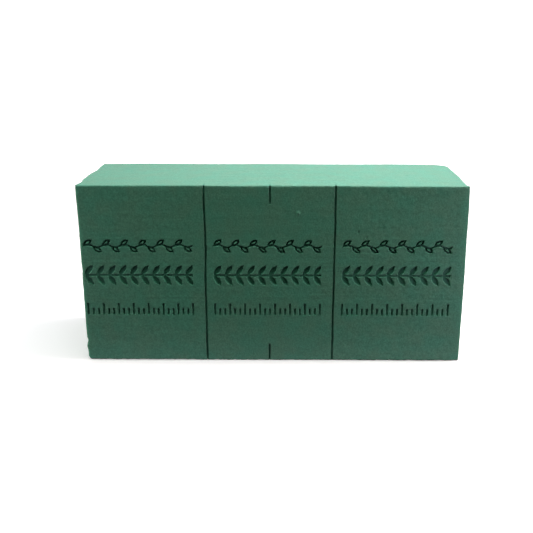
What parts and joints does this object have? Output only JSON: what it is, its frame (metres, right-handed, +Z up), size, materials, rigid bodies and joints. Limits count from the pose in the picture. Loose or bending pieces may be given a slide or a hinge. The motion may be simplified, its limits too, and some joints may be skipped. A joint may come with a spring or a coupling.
{
  "type": "floral foam brick",
  "caption": "Rectangular block of green floral foam with scored and half-way cutting marks and pressed ornament on its front face.",
  "frame": {"origin": "centre of the bottom face, on the surface that the brick stands on", "axes": "+X along the length towards the right end, +Y from the marked front face to the plain back face, +Z up"},
  "size_m": [0.23, 0.076, 0.11],
  "materials": {
    "floral_foam": "dry open-cell phenolic foam, dead matt"
  },
  "bodies": {
    "root": {"left_third": "floral_foam", "centre_left_sixth": "floral_foam", "centre_right_sixth": "floral_foam", "right_third": "floral_foam"}
  },
  "joints": []
}
